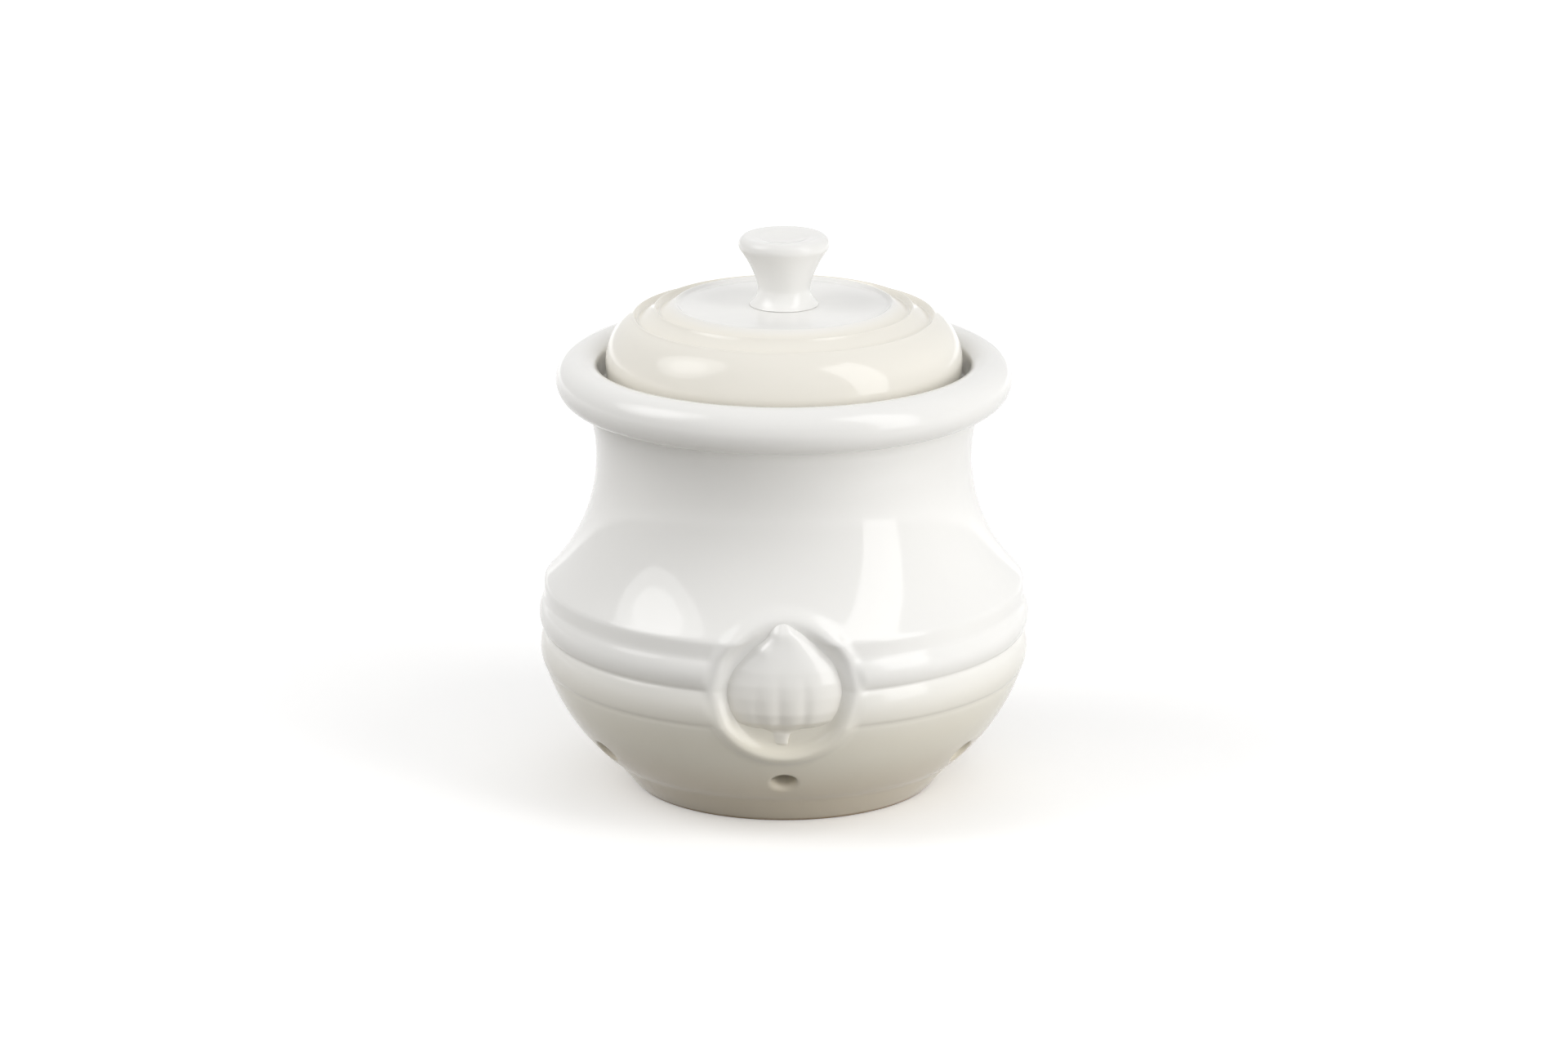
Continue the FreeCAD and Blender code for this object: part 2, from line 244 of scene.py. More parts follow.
inside = [
    arc((NECK_TOP[0] - WALL, NECK_TOP[1]), inner_shoulder, NECK_CURVE + WALL, -1, 18),
    line(inner_shoulder, (BELLY - WALL, LOW_GROOVE), 8),
    belly_stretch(belly_droop(LOW_GROOVE, WALL), above, WALL, 3),
    belly_stretch(above, tilt, WALL, 2 * VENT_ROWS),
    belly_stretch(tilt, below, WALL, 2 * VENT_ROWS),
    belly_stretch(below, belly_droop(FLOOR, WALL), WALL, 4),
    line(inner_floor_edge, (0, FLOOR), 6),
]
crock_profile = glazed(outside + rim + inside, SOFT)
print(len(crock_profile), "rings in the crock's profile")

# %% Grooves drawn under each ridge
GROOVE_DEPTH, GROOVE_WIDTH = 0.3, 0.5


def bell(distance, width):
    """1 in the middle and nearly 0 beyond twice the width: e to the minus (distance / width) squared."""
    return np.exp(-((distance / width) ** 2))


outer_rows = sum(rings for _, rings in outside)
outer_rings = crock_profile[:outer_rows]
for groove in (LOW_GROOVE, MIDDLE_GROOVE):
    drawn = bell(outer_rings[:, 1] - groove, GROOVE_WIDTH)
    outer_rings[:, 0] -= GROOVE_DEPTH * drawn * (outer_rings[:, 0] > RING_INSIDE)
print(outer_rows, "rings below the rim, grooves", GROOVE_DEPTH, "mm deep")

# %% [markdown]
# ## Columns, and the holes in the wall
# Six round vent holes go through the lower belly. A Boolean would cut them, but it leaves long
# thin faces that shade badly under glaze. Here the grid itself makes room: round each hole the
# squares of the grid are eased into circles, the faces inside the smallest circle are left out,
# and a tube joins the outer wall to the inner.

# %% Angles of the columns: fine at the front and at each vent, coarse between
FINE_ANGLE, COARSE_ANGLE = 0.5, 2.2
VENT_COUNT, VENT_WINDOW, FRONT_WINDOW = 6, 8.0, 24.0


def column_angles():
    """Angles round the pot. Each window is filled with fine steps, each gap with equal coarse ones."""
    parts = []
    spacing = 360 / VENT_COUNT
    for number in range(VENT_COUNT):
        half = VENT_WINDOW if number else FRONT_WINDOW
        next_half = VENT_WINDOW if number < VENT_COUNT - 1 else FRONT_WINDOW
        middle = number * spacing
        parts.append(np.arange(middle - half, middle + half, FINE_ANGLE))
        gap = spacing - half - next_half
        steps = int(math.ceil(gap / COARSE_ANGLE))
        parts.append(middle + half + gap * np.arange(steps) / steps)
    return np.radians(np.concatenate(parts))


angles = column_angles()
columns = len(angles)
vent_angles = 2 * math.pi * np.arange(VENT_COUNT) / VENT_COUNT
vent_columns = [int(np.argmin(np.abs(angles - vent))) for vent in vent_angles]
print(columns, "columns, vents at columns", vent_columns)


# %% The grid eased round a vent
def smooth_step(low, high, value):
    """0 below low, 1 above high, and an S-curve between: 3t squared - 2t cubed. Swapped, it falls."""
    share = np.clip((value - low) / (high - low), 0, 1)
    return share * share * (3 - 2 * share)


VENT_LIP, INNER_LIP, NO_LENGTH = 1.4, 0.6, 1e-6  # the inner lip is a share of the outer one


def vent_dip(away):
    """How far glaze rounds the wall off into the hole, a quarter circle that ends at the hole's edge:
    lip times (1 - the root of (1 - share squared))."""
    share = np.clip((VENT_RADIUS + VENT_LIP - away) / VENT_LIP, 0, 1)
    return VENT_LIP * (1 - np.sqrt(1 - share**2))


def vent_grid(radius, height, angle, middle_row, middle_column, inset):
    """Moves the points round one vent. In squares counted from its centre, the ring at VENT_ROWS becomes
    the hole's circle, and the ring at twice that stays where it is. Up and across are lengths on the
    wall. Glaze rounds the hole's edge off on both sides, and less on the inner one."""
    reach = 2 * VENT_ROWS
    rows = np.arange(middle_row - reach, middle_row + reach + 1)
    cols = np.arange(middle_column - reach, middle_column + reach + 1) % columns
    pick = np.ix_(rows, cols)
    steps = np.abs(np.arange(-reach, reach + 1))
    square = np.maximum(steps[:, None], steps[None, :]) / VENT_ROWS
    hub_radius, hub_angle = radius[middle_row, middle_column], angle[middle_row, middle_column]
    across = ((angle[pick] - hub_angle + math.pi) % (2 * math.pi) - math.pi) * hub_radius
    curve = BELLY_CURVE - inset
    up = (tilt - belly_droop(height[pick], inset)) * curve
    away = np.maximum(np.hypot(across, up), NO_LENGTH)
    share = smooth_step(1, 2, square)
    scale = (1 - share) * VENT_RADIUS * square / away + share
    angle[pick] = hub_angle + across * scale / hub_radius
    inward = vent_dip(away * scale) * (1 if inset == 0 else -INNER_LIP)
    radius[pick], height[pick] = belly_point(tilt - up * scale / curve, inset + inward)


print("each vent is", 8 * VENT_ROWS, "vertices round")

# %% [markdown]
# ## The panel on the front
# The relief lies in a round panel. Its floor is sunk and nearly flat, a soft wall climbs to a low
# border, and the ridges of the belly die away into that border. All of it is one number per
# point: how far the wall stands from the axis. So it can be mixed from three surfaces by the
# distance from the panel's centre.

# %% How far out the front stands
PANEL_HEIGHT, PANEL_FLOOR = 41.7, 58.6
FLOOR_EDGE, BORDER_CREST, BORDER_EDGE = 14.6, 18.5, 21.6
BORDER_RISE, BORDER_LOW_RISE, LEAST_DEPTH, FLOOR_BLEND = 0.8, 0.9, 1.5, 0.1
NECK_CENTRE = (95.9, 87.5)


def plain_radius(height):
    """The belly without its ridges: the lower arc, an upright band and the neck's arc."""
    lower = belly_point(belly_droop(np.minimum(height, LOW_GROOVE)))[0]
    rise = np.maximum(height, SHOULDER) - NECK_CENTRE[1]
    neck = NECK_CENTRE[0] - np.sqrt(NECK_CURVE**2 - rise**2)
    return np.where(height > SHOULDER, neck, lower)


def panel_floor_radius(height, angle):
    """The flat floor, or a little inside the plain wall where the neck leans back behind it. The lesser
    of the two, without a corner: their mean, less the root of (half their gap squared + a small blend)."""
    flat = PANEL_FLOOR / np.cos(angle)
    leaning = plain_radius(height) - LEAST_DEPTH
    gap = (flat - leaning) / 2
    return (flat + leaning) / 2 - np.sqrt(gap**2 + FLOOR_BLEND)


def pressed_front(radius, height, angle):
    """Mixes wall, border and floor by the distance from the panel's centre. A mix of two surfaces is
    one + (other - one) times a share, and the share is an S-curve of the distance."""
    across = radius * np.sin(angle)
    distance = np.hypot(across, height - PANEL_HEIGHT)
    below_centre = np.clip((PANEL_HEIGHT - height) / BORDER_CREST, 0, 1)
    border = plain_radius(height) + BORDER_RISE + BORDER_LOW_RISE * below_centre**2
    outer = radius + (border - radius) * (1 - smooth_step(BORDER_CREST, BORDER_EDGE, distance))
    floor = panel_floor_radius(height, angle)
    sunk = outer + (floor - outer) * (1 - smooth_step(FLOOR_EDGE, BORDER_CREST, distance))
    return np.where((distance < BORDER_EDGE) & (np.cos(angle) > 0), sunk, radius)


print("panel floor", PANEL_FLOOR, "mm from the axis, border", BORDER_CREST, "mm from its centre")

# %% The crock's points. A vent's centre is where the named stretch of outside or of inside starts
OUTER_HUB, INNER_HUB = 6, 4
rings = crock_profile[1:-1]
radius, height = (np.repeat(rings[:, axis:axis + 1], columns, 1) for axis in (0, 1))
angle = np.repeat(angles[None, :], len(rings), 0)
start_of = np.cumsum([0] + [stretch[1] for stretch in outside + rim + inside])
hub_rows = [int(start_of[stretch]) - 1 for stretch in (OUTER_HUB, len(outside + rim) + INNER_HUB)]
vent_centres = [(row, column) for row in hub_rows for column in vent_columns]
for row, column in vent_centres:
    vent_grid(radius, height, angle, row, column, 0 if row == hub_rows[0] else WALL)
front = slice(0, outer_rows)
radius[front] = pressed_front(radius[front], height[front], angle[front])
points = turned(radius, height, angle).reshape(-1, 3)
print("outer hubs at", np.round(rings[hub_rows[0]], 2), "inner at", np.round(rings[hub_rows[1]], 2))


# %% The tubes through the wall, and the finished crock
def hole_edge(middle_row, middle_column, rising):
    """Vertex numbers round the hole, from its lower left corner, anticlockwise seen from outside."""
    step = VENT_ROWS if rising else -VENT_ROWS
    rows = np.linspace(middle_row - step, middle_row + step, 2 * VENT_ROWS + 1).astype(int)
    cols = np.arange(middle_column - VENT_ROWS, middle_column + VENT_ROWS + 1) % columns
    corners = [(rows[0], cols[:-1]), (rows[:-1], cols[-1]), (rows[-1], cols[:0:-1]), (rows[:0:-1], cols[0])]
    return np.concatenate([(np.asarray(r) * columns + c).ravel() for r, c in corners])


TUBE_RINGS = 4
skip = np.zeros((len(rings) - 1, columns), bool)
tube_points, tube_faces = [], []
next_vertex = len(points) + 2
for column in vent_columns:
    outer_edge = hole_edge(hub_rows[0], column, True)
    inner_edge = hole_edge(hub_rows[1], column, False)
    around = len(outer_edge)
    shares = np.linspace(0, 1, TUBE_RINGS + 2)[1:-1, None, None]
    tube_points.append((points[outer_edge] * (1 - shares) + points[inner_edge] * shares).reshape(-1, 3))
    middle = next_vertex + np.arange(TUBE_RINGS * around).reshape(TUBE_RINGS, around)
    numbers = np.concatenate([outer_edge[None], middle, inner_edge[None]])
    shifted = np.roll(numbers, -1, axis=1)
    tube_faces.append(np.stack([numbers[:-1], shifted[:-1], shifted[1:], numbers[1:]], -1).reshape(-1, 4))
    next_vertex += TUBE_RINGS * around
    inner_cols = np.arange(column - VENT_ROWS, column + VENT_ROWS) % columns
    for row in hub_rows:
        skip[np.ix_(np.arange(row - VENT_ROWS, row + VENT_ROWS), inner_cols)] = True

poles = np.array([[0, 0, crock_profile[0, 1]], [0, 0, crock_profile[-1, 1]]])
crock_faces = [ring_faces(len(rings), columns, skip), cap_faces(0, len(points), columns, True),
               cap_faces((len(rings) - 1) * columns, len(points) + 1, columns, False), *tube_faces]
crock = new_piece("glazed_crock", np.concatenate([points, poles, *tube_points]), crock_faces,
                  "pot", ["crock"])

# %% [markdown]
# ## The garlic relief
# The bulb is pressed in a mould and laid on the panel before glazing. It could be sculpted, but a
# bulb is simple to say in numbers: its width and its swell change with the height, and the cloves
# show as soft creases above the root that fade towards the stem. Each height is a closed loop,
# round in front and shallow behind.

# %% Width and swell of the bulb, in millimetres
BULB_HEIGHTS = (26.0, 26.8, 28.6, 30.2, 31.0, 31.8, 33.2, 36.0, 40.0, 43.5,
                47.0, 50.0, 52.8, 54.2, 55.6, 58.0, 59.6, 60.4)
BULB_LEFT = (0.0, 2.6, 3.0, 3.6, 6.9, 10.0, 12.9, 14.5, 15.3, 14.9,
             13.1, 10.6, 7.9, 5.8, 4.3, 3.7, 3.0, 0.0)
BULB_RIGHT = (0.0, 1.0, 1.3, 1.9, 5.9, 9.8, 12.9, 14.6, 15.5, 15.4,
              14.1, 11.9, 9.2, 7.6, 6.0, 3.3, 1.4, 0.0)
BULB_SWELL = (0.0, 0.2, 0.3, 0.5, 1.2, 2.4, 4.0, 5.2, 5.6, 5.5,
              5.0, 4.2, 3.5, 3.2, 3.0, 2.6, 2.0, 0.0)
FRONT_POWER, SKIRT_POWER, SUNK, BACK_DEPTH = 2.6, 1.05, 0.4, 0.6
RELIEF_ROWS, RELIEF_COLUMNS = 110, 160
print(len(BULB_HEIGHTS), "heights from", BULB_HEIGHTS[0], "to", BULB_HEIGHTS[-1], "mm")

# %% Creases, root and bead. A pair of heights is where a feature comes in or fades out
CREASES, CREASE_SPAN, CREASE_DEPTH, CREASE_WIDTH = (-0.47, -0.08, 0.37), 14.6, 0.5, 1.6
CREASE_START, CREASE_END, CREASE_MARGIN = (29.5, 31), (36, 50), 0.3
LOW_PINCH, LOW_PINCH_HEIGHTS, HIGH_PINCH, HIGH_PINCH_HEIGHTS = 0.25, (37, 28), 0.5, (41, 60)
ROOT_SWELL, ROOT_WIDTH, ROOT_START, ROOT_END, ROOT_MARGIN = 0.8, 2.4, (26, 27.5), (30, 33.5), 0.4
BEAD_SWELL, BEAD_PLACE, BEAD_SIZE, BEAD_MARGIN = 0.45, (-5.4, 52.6), (1.6, 1.7), 0.2
print(len(CREASES), "creases,", CREASE_DEPTH, "mm deep")


# %% The bulb's surface
def eased(value, places, levels, window=0.7, samples=9):
    """Straight-line value between the given places, with its corners rounded: a mean over a small
    window, weighted by the cosine squared."""
    offsets = np.linspace(-window, window, samples)
    weights = np.cos(offsets / window * math.pi / 2) ** 2
    shifted = (w * np.interp(value + o, places, levels) for w, o in zip(weights, offsets))
    return sum(shifted) / weights.sum()


def relief_points(rows, columns):
    """Loops of the bulb. Across = half-width times s, with s = cos(a). In front, out = swell times
    (1 - |s| to the front's power) to the skirt's power, and behind it is a shallow back."""
    turn = np.linspace(0, math.pi, rows + 2)[1:-1, None]
    low, high = BULB_HEIGHTS[0], BULB_HEIGHTS[-1]
    up = (low + high) / 2 - (high - low) / 2 * np.cos(turn) + np.zeros(columns)
    loop = np.linspace(0, 2 * math.pi, columns, endpoint=False)[None, :]
    side = np.cos(loop)
    left, right = (eased(up, BULB_HEIGHTS, widths) for widths in (BULB_LEFT, BULB_RIGHT))
    across = np.where(side < 0, left, right) * side
    bulge = np.where(np.sin(loop) > 0, (1 - np.abs(side) ** FRONT_POWER) ** SKIRT_POWER, 0)
    out = eased(up, BULB_HEIGHTS, BULB_SWELL) * bulge
    fade = 1 - smooth_step(*CREASE_END, up)
    fade = fade * smooth_step(*CREASE_START, up) * smooth_step(0, CREASE_MARGIN, bulge)
    pinch = 1 - LOW_PINCH * smooth_step(*LOW_PINCH_HEIGHTS, up)
    pinch = pinch - HIGH_PINCH * smooth_step(*HIGH_PINCH_HEIGHTS, up)
    for place in CREASES:
        out = out - CREASE_DEPTH * fade * bell(across - place * CREASE_SPAN * pinch, CREASE_WIDTH)
    bead = bell(across - BEAD_PLACE[0], BEAD_SIZE[0]) * bell(up - BEAD_PLACE[1], BEAD_SIZE[1])
    out = out + BEAD_SWELL * bead * smooth_step(0, BEAD_MARGIN, bulge)
    root = bell(across, ROOT_WIDTH) * smooth_step(*ROOT_START, up) * (1 - smooth_step(*ROOT_END, up))
    out = out + ROOT_SWELL * root * smooth_step(0, ROOT_MARGIN, bulge)
    out = out - SUNK - BACK_DEPTH * np.maximum(-np.sin(loop), 0)
    return across, up, out


across, up, out = relief_points(RELIEF_ROWS, RELIEF_COLUMNS)
bearing = np.arcsin(across / PANEL_FLOOR)
base = panel_floor_radius(up, bearing) * np.cos(bearing)
bulb_points = np.stack([across, -(base + out), up], -1)
print(f"bulb {np.ptp(across):.1f} mm wide, {np.ptp(up):.1f} mm tall, {out.max():.1f} mm proud")

# %% The finished relief
loops, around = up.shape
ends = bulb_points[[0, -1]].mean(1)
bulb_faces = [ring_faces(loops, around), cap_faces(0, loops * around, around, True),
              cap_faces((loops - 1) * around, loops * around + 1, around, False)]
relief = new_piece("glazed_relief", np.concatenate([bulb_points.reshape(-1, 3), ends]),
                   [faces[:, ::-1] for faces in bulb_faces], "pot", ["garlic_relief"])

# %% [markdown]
# ## The lid
# The lid is turned like the crock, and so it could be a copy of the CAD solid with its edges
# rounded. A profile of its own lets its rings be a little deeper, as glaze makes them look. The
# plate in the middle is level, three rings step down round it, and the band between is left bare.
# Under it, a flange keeps the lid in the throat.

# %% Named places of the lid, in millimetres
PLATE, PLATE_EDGE, PLATE_DIP, PLATE_THICKNESS = 127.6, 24.0, 0.2, 4.6
HOLLOW_FLAT, HOLLOW_SPRING, HOLLOW_CURVE = 27.4, 113.4, 14.0
FLANGE_INSIDE, FLANGE_OUTSIDE, FLANGE_FOOT = 37.4, 41.2, 97.0
SEAT_EDGE, LID_SIDE, LOW_SIDE_CURVE, HIGH_SIDE_CURVE = 43.7, (46.1, 111.2), 7.5, 13.1
OUTER_RING = [(39.6, 124.3), (38.9, 125.0), (37.8, 123.5)]
MIDDLE_RING = [(34.0, 126.3), (33.3, 127.2), (32.2, 125.7)]
INNER_RING = [(28.9, 127.7), (28.1, 128.3), (26.9, PLATE - PLATE_DIP)]
STEPS_PER_STRETCH = (4, 6, 9, 5, 6, 8, 4, 6, 6)
LID_COLUMNS = 256
print("the lid's plate is at", PLATE, "mm and its highest ring at", INNER_RING[1][1])

# %% The lid's profile, from under the plate round to its top
plate_under = PLATE - PLATE_THICKNESS
lid_stretches = [
    line((0, plate_under), (HOLLOW_FLAT, plate_under), 6),
    arc((HOLLOW_FLAT, plate_under), (FLANGE_INSIDE, HOLLOW_SPRING), HOLLOW_CURVE, 1, 10),
    line((FLANGE_INSIDE, HOLLOW_SPRING), (FLANGE_INSIDE, FLANGE_FOOT), 8),
    line((FLANGE_INSIDE, FLANGE_FOOT), (FLANGE_OUTSIDE, FLANGE_FOOT), 4),
    line((FLANGE_OUTSIDE, FLANGE_FOOT), (FLANGE_OUTSIDE, SEAT), 5),
    line((FLANGE_OUTSIDE, SEAT), (SEAT_EDGE, SEAT), 3),
    arc((SEAT_EDGE, SEAT), LID_SIDE, LOW_SIDE_CURVE, -1, 10),
    arc(LID_SIDE, OUTER_RING[0], HIGH_SIDE_CURVE, -1, 20),
]
ring_path = OUTER_RING + MIDDLE_RING + INNER_RING + [(PLATE_EDGE, PLATE)]
lid_stretches += [line(*stretch) for stretch in zip(ring_path, ring_path[1:], STEPS_PER_STRETCH)]
lid_stretches.append(line((PLATE_EDGE, PLATE), (0, PLATE), 12))
lid_profile = glazed(lid_stretches, CRISP)
lid = turned_piece("glazed_lid", lid_profile, LID_COLUMNS, "cover", ["lid"])

# %% [markdown]
# ## The knob
# A small flared stem with a broad rounded rim and a dimple in its top. It is luted to the lid
# with slip, which leaves a soft fillet at its foot. A bevelled cylinder would do from far away,
# but the flare is an arc of its own, so it is turned like the rest.

# %% Named places of the knob, in millimetres
KNOB_FOOT, FILLET_CURVE, KNOB_NECK, FLARE_CURVE = (9.3, PLATE), 5.6, (6.7, 132.2), 26.0
KNOB_LIP, LIP_CURVE, KNOB_TOP = (11.6, 142.6), 2.4, (9.9, 146.0)
DIMPLE_EDGE, DIMPLE_CURVE, DIMPLE = (6.4, 145.5), 19.0, (0, 144.4)
KNOB_COLUMNS = 128
print("the knob ends at", KNOB_TOP[1], "mm")

# %% The knob's profile
knob_stretches = [
    line((0, PLATE), KNOB_FOOT, 5),
    arc(KNOB_FOOT, KNOB_NECK, FILLET_CURVE, 1, 12),
    arc(KNOB_NECK, KNOB_LIP, FLARE_CURVE, 1, 16),
    arc(KNOB_LIP, KNOB_TOP, LIP_CURVE, -1, 16),
    line(KNOB_TOP, DIMPLE_EDGE, 7),
    arc(DIMPLE_EDGE, DIMPLE, DIMPLE_CURVE, 1, 12),
]
knob_profile = glazed(knob_stretches, SOFT)
knob = turned_piece("glazed_knob", knob_profile, KNOB_COLUMNS, "cover", ["lid_knob"])

# %% [markdown]
# ## The glaze
# One tin-white glaze covers everything. Where it is thick it is white, and where it runs thin on
# the lid's side, the clay warms it to cream. Low on the crock the colour darkens and warms to the
# foot: a faint cream of the glaze, with painted shade where the belly turns under. A painted image
# could carry that change, but a colour ramp keeps it in the material, and it follows the piece
# wherever the lid goes. It runs over the height on the crock and over the reach from the axis on the lid.
# Gloss comes from a low roughness, and faint noise in the bump gives the surface its slight wave.

# %% Node helpers, and colours as the photograph shows them
def linear(red, green, blue):
    """Screen colour, 0 to 255, as the linear numbers that shaders take: channel to the power 2.2."""
    return tuple((channel / 255) ** 2.2 for channel in (red, green, blue)) + (1.0,)


def mapped(nodes, links, value, start, end, first=0.0, last=1.0):
    """Straight-line change: while value goes from start to end, the result goes from first to last."""
    change = nodes.new("ShaderNodeMapRange")
    for socket, level in (("From Min", start), ("From Max", end), ("To Min", first), ("To Max", last)):
        change.inputs[socket].default_value = level
    links.new(value, change.inputs["Value"])
    return change.outputs["Result"]


WHITE, IVORY, CREAM = linear(243, 242, 239), linear(242, 238, 228), linear(230, 225, 210)
# the first colour below is the low belly's: a faint cream of the glaze, darkened as painted shade where the
# belly turns under
LOW_CREAM_AND_SHADE, BARE_CLAY = linear(222, 211, 190), linear(198, 176, 145)
print("glaze from", [round(c, 3) for c in LOW_CREAM_AND_SHADE[:3]], "to", [round(c, 3) for c in WHITE[:3]])

# %% How the glaze shines, in shader units, and where the foot is dry, in millimetres
GLOSS, DRY_ROUGHNESS, GLAZE_IOR = 0.085, 0.8, 1.5
DRY_UNDER, GLAZED_OVER = 0.4, 0.8
WAVE_SCALE, WAVE_DETAIL, WAVE_STRENGTH, WAVE_DEPTH = 90, 1, 0.12, 0.0006


def reach_from_axis(nodes, links, split):
    """Root of (x squared + y squared)."""
    flat = nodes.new("ShaderNodeCombineXYZ")
    reach = nodes.new("ShaderNodeVectorMath")
    reach.operation = "LENGTH"
    links.new(split.outputs["X"], flat.inputs["X"])
    links.new(split.outputs["Y"], flat.inputs["Y"])
    links.new(flat.outputs[0], reach.inputs[0])
    return reach.outputs["Value"]


def glaze(name, low, high, stops, by_reach=False, bare_foot=False):
    """Glossy glaze. stops is a list of (share of the way from low to high, colour). The way is the
    height, or the reach from the axis, in millimetres. A bare foot has no glaze on the ring that it
    stands on."""
    material = bpy.data.materials.new(name)
    material.use_nodes = True
    nodes, links = material.node_tree.nodes, material.node_tree.links
    shader = nodes["Principled BSDF"]
    shader.inputs["Roughness"].default_value = GLOSS
    shader.inputs["IOR"].default_value = GLAZE_IOR
    place = nodes.new("ShaderNodeTexCoord")
    split = nodes.new("ShaderNodeSeparateXYZ")
    links.new(place.outputs["Object"], split.inputs[0])
    way = reach_from_axis(nodes, links, split) if by_reach else split.outputs["Z"]
    if bare_foot:
        low_down = (DRY_UNDER * MM, GLAZED_OVER * MM)
        dry = mapped(nodes, links, split.outputs["Z"], *low_down, DRY_ROUGHNESS, GLOSS)
        links.new(dry, shader.inputs["Roughness"])
    ramp = nodes.new("ShaderNodeValToRGB")
    ramp.color_ramp.interpolation = "EASE"
    for position, _ in stops[len(ramp.color_ramp.elements):]:
        ramp.color_ramp.elements.new(position)
    for element, (position, colour) in zip(ramp.color_ramp.elements, stops):
        element.position = position
        element.color = colour
    links.new(mapped(nodes, links, way, low * MM, high * MM), ramp.inputs["Fac"])
    links.new(ramp.outputs["Color"], shader.inputs["Base Color"])
    wave = nodes.new("ShaderNodeTexNoise")
    wave.inputs["Scale"].default_value = WAVE_SCALE
    wave.inputs["Detail"].default_value = WAVE_DETAIL
    links.new(place.outputs["Object"], wave.inputs["Vector"])
    bump = nodes.new("ShaderNodeBump")
    bump.inputs["Strength"].default_value = WAVE_STRENGTH
    bump.inputs["Distance"].default_value = WAVE_DEPTH
    links.new(wave.outputs["Fac"], bump.inputs["Height"])
    links.new(bump.outputs["Normal"], shader.inputs["Normal"])
    return material


print("glaze roughness", GLOSS, "and", DRY_ROUGHNESS, "on bare clay")

# %% The glaze on each piece
CROCK_WAY, RELIEF_WAY, LID_WAY, KNOB_WAY = (0, 60), (26, 59), (27, 31), (127, 146)
# towards the foot the crock's colours darken: painted shade over a faint cream of the glaze; the bare clay
# is the dry foot ring
CROCK_STOPS = [(0.0, BARE_CLAY), (0.008, BARE_CLAY), (0.018, LOW_CREAM_AND_SHADE), (0.12, LOW_CREAM_AND_SHADE),
               (0.4, CREAM), (0.8, WHITE)]
RELIEF_STOPS = [(0.0, IVORY), (0.8, WHITE)]
LID_STOPS = [(0.0, WHITE), (1.0, IVORY)]
KNOB_STOPS = [(0.0, WHITE), (1.0, WHITE)]
crock.data.materials.append(glaze("white_to_cream_glaze_and_shade", *CROCK_WAY, CROCK_STOPS, bare_foot=True))
relief.data.materials.append(glaze("relief_glaze", *RELIEF_WAY, RELIEF_STOPS))
lid.data.materials.append(glaze("lid_ivory_glaze", *LID_WAY, LID_STOPS, by_reach=True))
knob.data.materials.append(glaze("knob_glaze", *KNOB_WAY, KNOB_STOPS))
# a CAD node that came without a material gets the crock's
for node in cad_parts.values():
    if not node.data.materials or node.data.materials[0] is None:
        node.data.materials.append(crock.data.materials[0])
print("glazes:", [m.name for m in bpy.data.materials])

# %% [markdown]
# ## The floor
# The photograph is a packshot on a plain white sweep, and only the contact shadow shows on it. A
# curved backdrop could stand behind the pot. A flat floor that brightens to pure white away from
# the pot looks the same from every side. It shines for the rays that show it, and sends little
# light back up under the belly.

# %% Which rays show a thing
def seen_rays(nodes, links):
    """1 for the rays that show a thing, to the camera, in a reflection or through glass. 0 for the rest."""
    rays = nodes.new("ShaderNodeLightPath")
    kinds = ["Is Camera Ray", "Is Glossy Ray", "Is Transmission Ray"]
    socket = rays.outputs[kinds[0]]
    for kind in kinds[1:]:
        either = nodes.new("ShaderNodeMath")
        either.operation = "MAXIMUM"
        links.new(socket, either.inputs[0])
        links.new(rays.outputs[kind], either.inputs[1])
        socket = either.outputs[0]
    return socket


print("ray test ready")

# %% The floor, in metres
FLOOR_REACH = 3.0
SWEEP_COLOUR, SWEEP_ROUGHNESS, UPWARD_COLOUR = (0.96, 0.955, 0.95, 1), 0.9, (0.32, 0.31, 0.29, 1)
GLOW_FROM, GLOW_TO, NEAR_GLOW, FAR_GLOW = 0.35, 1.3, 0.23, 1.0
floor_mesh = bpy.data.meshes.new("floor")
corners = [(-FLOOR_REACH, -FLOOR_REACH, 0), (FLOOR_REACH, -FLOOR_REACH, 0),
           (FLOOR_REACH, FLOOR_REACH, 0), (-FLOOR_REACH, FLOOR_REACH, 0)]
floor_mesh.from_pydata(corners, [], [(0, 1, 2, 3)])
floor = bpy.data.objects.new("floor", floor_mesh)
bpy.context.collection.objects.link(floor)
print("floor laid,", 2 * FLOOR_REACH, "m wide")

# %% Its white sweep
floor_material = bpy.data.materials.new("white_sweep")
floor_material.use_nodes = True
nodes, links = floor_material.node_tree.nodes, floor_material.node_tree.links
sweep = nodes["Principled BSDF"]
sweep.inputs["Base Color"].default_value = SWEEP_COLOUR
sweep.inputs["Roughness"].default_value = SWEEP_ROUGHNESS
sweep.inputs["Specular IOR Level"].default_value = 0.0
upward_light = nodes.new("ShaderNodeBsdfDiffuse")
upward_light.inputs["Color"].default_value = UPWARD_COLOUR
place, reach = nodes.new("ShaderNodeNewGeometry"), nodes.new("ShaderNodeVectorMath")
reach.operation = "LENGTH"
links.new(place.outputs["Position"], reach.inputs[0])
glow = nodes.new("ShaderNodeEmission")
brightening = mapped(nodes, links, reach.outputs["Value"], GLOW_FROM, GLOW_TO, NEAR_GLOW, FAR_GLOW)
links.new(brightening, glow.inputs["Strength"])
both = nodes.new("ShaderNodeAddShader")
links.new(sweep.outputs[0], both.inputs[0])
links.new(glow.outputs[0], both.inputs[1])
pick_rays = nodes.new("ShaderNodeMixShader")
links.new(seen_rays(nodes, links), pick_rays.inputs[0])
links.new(upward_light.outputs[0], pick_rays.inputs[1])
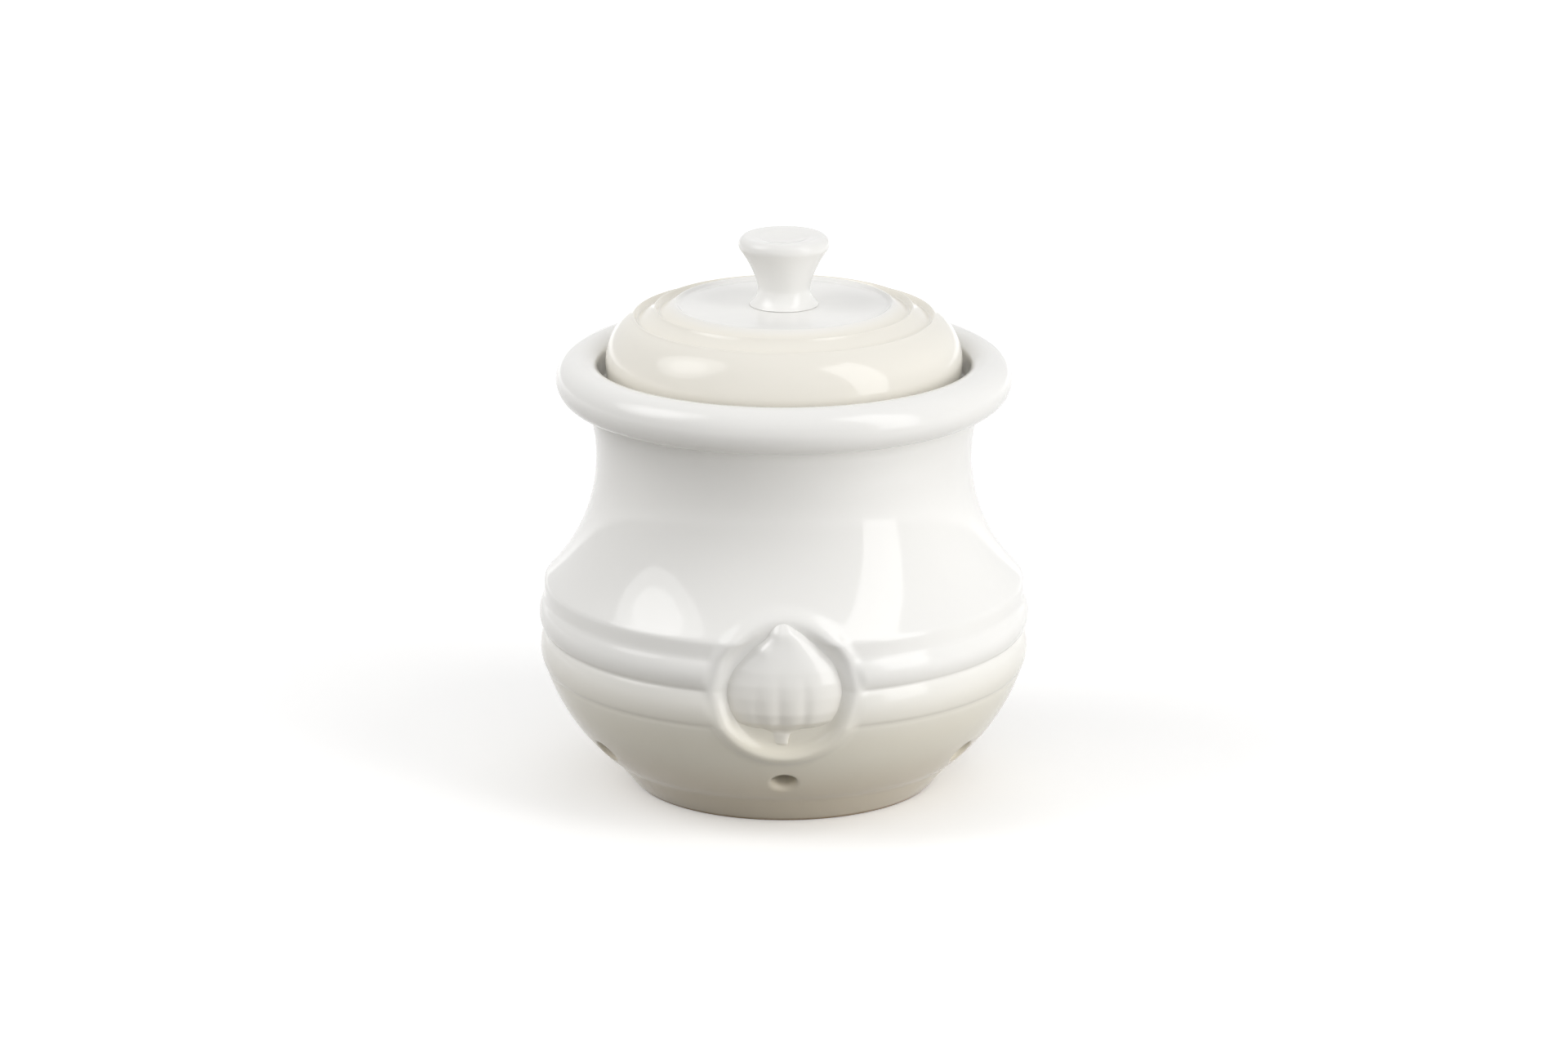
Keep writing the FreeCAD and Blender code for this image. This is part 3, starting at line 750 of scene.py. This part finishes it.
links.new(both.outputs[0], pick_rays.inputs[2])
links.new(pick_rays.outputs[0], nodes["Material Output"].inputs["Surface"])
floor_mesh.materials.append(floor_material)
print("the sweep is white from", GLOW_TO, "m out")

# %% [markdown]
# ## The room
# A glossy glaze shows what stands round it, and here that is white. An image of a studio could
# light the pot, but two plain backgrounds are enough: a pure white one for the rays that show it,
# and a weaker one as light, which falls off overhead so that the pot keeps some shade under its
# rim.

# %% The white wall and the room's light
ROOM_LEVEL, CEILING_LEVEL, WALL_LEVEL = 0.7, 0.34, 1.0
PURE_WHITE = (1, 1, 1, 1)
world = bpy.data.worlds.new("studio")
bpy.context.scene.world = world
world.use_nodes = True
nodes, links = world.node_tree.nodes, world.node_tree.links
room = nodes["Background"]
room.inputs["Color"].default_value = PURE_WHITE
direction, upward = nodes.new("ShaderNodeTexCoord"), nodes.new("ShaderNodeSeparateXYZ")
links.new(direction.outputs["Generated"], upward.inputs[0])
fall = mapped(nodes, links, upward.outputs["Z"], 0.0, 1.0, ROOM_LEVEL, CEILING_LEVEL)
links.new(fall, room.inputs["Strength"])
white_wall = nodes.new("ShaderNodeBackground")
white_wall.inputs["Strength"].default_value = WALL_LEVEL
white_wall.inputs["Color"].default_value = PURE_WHITE
choose = nodes.new("ShaderNodeMixShader")
links.new(seen_rays(nodes, links), choose.inputs[0])
links.new(room.outputs[0], choose.inputs[1])
links.new(white_wall.outputs[0], choose.inputs[2])
links.new(choose.outputs[0], nodes["World Output"].inputs["Surface"])
print("room light", ROOM_LEVEL, "at the sides and", CEILING_LEVEL, "overhead")

# %% [markdown]
# ## The lamps
# In the photograph a large light high on the right shows as a bright upright window on the neck,
# and a weaker round one on the left. Their places follow from where they show in the glaze. Point
# lamps would show as dots, so these are area lamps of the windows' shapes. Three more that the
# glaze doesn't show lift the back, the low right side and the relief.

# %% Area lamps aimed at the pot
LAMP_AIM_HEIGHT = 0.07


def softbox(name, azimuth, elevation, distance, width, height, power,
            shape="RECTANGLE", unseen=False):
    """Area light aimed at the pot's middle, in degrees, metres and watts. Azimuth 0 is in front, and
    positive to the right. Place = aim + distance times (sin a cos e, -cos a cos e, sin e). An unseen
    one lights the pot but doesn't show in the glaze."""
    lamp = bpy.data.lights.new(name, "AREA")
    lamp.shape = shape
    lamp.size, lamp.size_y, lamp.energy = width, height, power
    box = bpy.data.objects.new(name, lamp)
    box.visible_camera = False
    box.visible_glossy = not unseen
    a, e = math.radians(azimuth), math.radians(elevation)
    away = np.array([math.sin(a) * math.cos(e), -math.cos(a) * math.cos(e), math.sin(e)])
    box.location = np.array([0, 0, LAMP_AIM_HEIGHT]) + away * distance
    box.rotation_mode = "QUATERNION"
    box.rotation_quaternion = Vector(away).to_track_quat("Z", "Y")
    bpy.context.collection.objects.link(box)


# name, azimuth, elevation, distance, width, height, power
softbox("key_softbox", 58, 27, 1.2, 0.5, 1.9, 7.4)
softbox("left_softbox", -80, 42, 1.3, 0.9, 1.1, 4.2, "ELLIPSE")
softbox("left_softbox_heart", -80, 42, 1.25, 0.5, 0.6, 1.2, "ELLIPSE")
softbox("back_softbox", 165, 50, 1.3, 1.0, 0.8, 1.6, unseen=True)
softbox("table_bounce", 62, -12, 0.27, 0.24, 0.1, 0.2, unseen=True)
softbox("front_fill", 12, 20, 1.3, 0.6, 0.6, 1.1, unseen=True)
print("lamps:", [lamp.name for lamp in bpy.data.lights])

# %% [markdown]
# ## The camera
# The rim and the foot show as flat ellipses with almost the same opening, so the camera stands
# far off with a long lens and looks down a little. A nearer camera with a shorter lens would open
# the foot's ellipse much more than the rim's.

# %% The camera, with its lens in millimetres, its pitch in degrees and the rest in metres
LENS, SENSOR = 168.75, 36.0
PITCH, DISTANCE, AIM_HEIGHT, FAR_CLIP = 16.2, 1.915, 0.0688, 50
camera_data = bpy.data.cameras.new("camera")
camera_data.lens, camera_data.sensor_width = LENS, SENSOR
camera_data.clip_end = FAR_CLIP
camera = bpy.data.objects.new("camera", camera_data)
pitch = math.radians(PITCH)
camera.location = (0, -DISTANCE * math.cos(pitch), AIM_HEIGHT + DISTANCE * math.sin(pitch))
camera.rotation_euler = (math.pi / 2 - pitch, 0, 0)
bpy.context.collection.objects.link(camera)
bpy.context.scene.camera = camera
bpy.context.scene.view_settings.view_transform = "Standard"
print("camera at", [round(c, 3) for c in camera.location])
